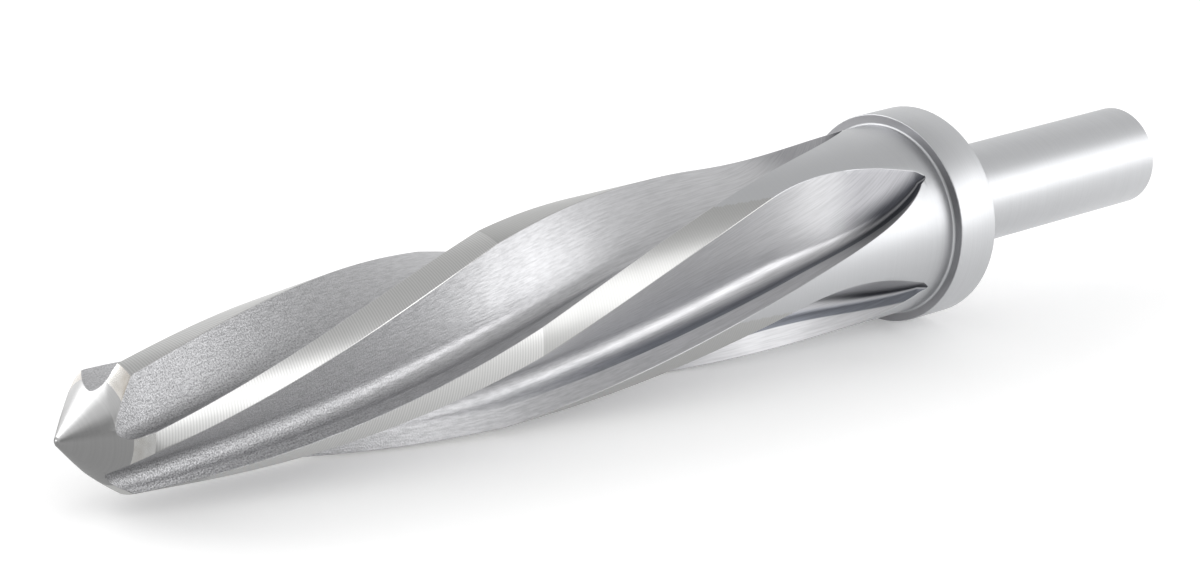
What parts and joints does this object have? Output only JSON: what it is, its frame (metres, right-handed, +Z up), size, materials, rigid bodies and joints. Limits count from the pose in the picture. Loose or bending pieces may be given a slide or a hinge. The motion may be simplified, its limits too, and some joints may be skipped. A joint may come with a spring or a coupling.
{
  "type": "aligning reamer",
  "caption": "Tapered reamer with left-hand spiral flutes, a stop collar and a plain round shank, for bringing misaligned bolt holes in steel into line.",
  "frame": {"origin": "middle of the floor area that the tool covers as it lies, at the height of the floor", "axes": "+X along the tool from its point to its shank, as seen from above; +Z up; the tool's own axis rises 1.66 degrees towards the shank, because the collar is wider than the body"},
  "size_m": [0.1778, 0.0264, 0.0266],
  "materials": {
    "high_speed_steel": "bright ground lands and shank, milled flutes"
  },
  "bodies": {
    "root": {"aligning_reamer": "high_speed_steel"}
  },
  "joints": []
}
